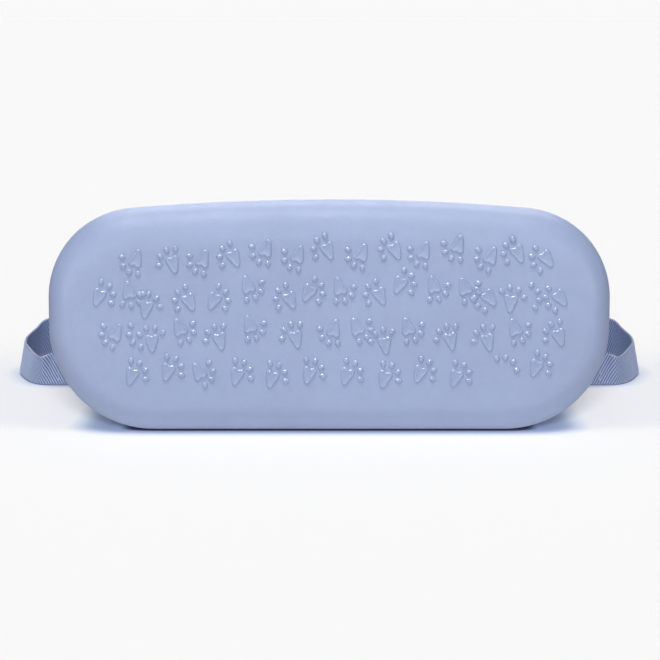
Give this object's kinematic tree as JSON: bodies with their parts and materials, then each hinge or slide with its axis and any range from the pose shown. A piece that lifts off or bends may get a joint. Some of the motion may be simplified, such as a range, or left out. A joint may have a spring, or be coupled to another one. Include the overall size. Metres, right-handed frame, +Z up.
{
  "type": "paw washer cup",
  "caption": "Oblong soft silicone paw washing cup with a paw-print base, a lift-out bristle liner, a push-on splash guard and two webbing loops by the rim.",
  "frame": {"origin": "in the middle of the flat long side that the cup rests on", "axes": "+X along the oblong, +Y from the patterned base to the mouth, +Z up from the resting side"},
  "size_m": [0.261, 0.1777, 0.0841],
  "materials": {
    "soft_silicone": "soft matte, faintly grained",
    "collar_plastic": "fine satin",
    "clamp_steel": "brushed",
    "seal_rubber": "soft matte",
    "liner_plastic": "satin",
    "bristle_silicone": "soft matte",
    "guard_plastic": "fine satin",
    "membrane_silicone": "soft matte",
    "screw_steel": "brushed",
    "webbing": "twill woven strap",
    "thread": "twisted thread",
    "bar_steel": "polished bar",
    "lug_plastic": "fine satin"
  },
  "bodies": {
    "cup": {"cup_shell": "soft_silicone", "paw_print_relief": "soft_silicone", "rim_collar": "collar_plastic", "rim_band": "clamp_steel", "rim_seal": "seal_rubber", "right_anchor_bar": "bar_steel", "right_anchor_lug": "lug_plastic", "right_anchor_screws": "screw_steel", "left_anchor_bar": "bar_steel", "left_anchor_lug": "lug_plastic", "left_anchor_screws": "screw_steel"},
    "liner": {"liner_sleeve": "liner_plastic", "bristle_pad_upper": "bristle_silicone", "bristle_pad_lower": "bristle_silicone", "bristle_pad_floor": "bristle_silicone"},
    "guard": {"guard_frame": "guard_plastic", "guard_membrane": "membrane_silicone", "guard_retainer": "guard_plastic", "guard_screws": "screw_steel"},
    "right_loop": {"right_loop_webbing": "webbing", "right_loop_stitching": "thread"},
    "left_loop": {"left_loop_webbing": "webbing", "left_loop_stitching": "thread"}
  },
  "joints": [
    {"name": "liner_lift", "type": "slide", "parent": "cup", "child": "liner", "axis": [0, 1, 0], "range_m": [0, 0.14]},
    {"name": "guard_lift", "type": "slide", "parent": "liner", "child": "guard", "axis": [0, 1, 0], "range_m": [0, 0.04]},
    {"name": "right_loop_swing", "type": "hinge", "parent": "cup", "child": "right_loop", "pos_m": [0.098, 0.053, 0], "axis": [0, 0, 1], "range_deg": [-50, 10]},
    {"name": "left_loop_swing", "type": "hinge", "parent": "cup", "child": "left_loop", "pos_m": [-0.098, 0.053, 0], "axis": [0, 0, 1], "range_deg": [-10, 50]}
  ]
}
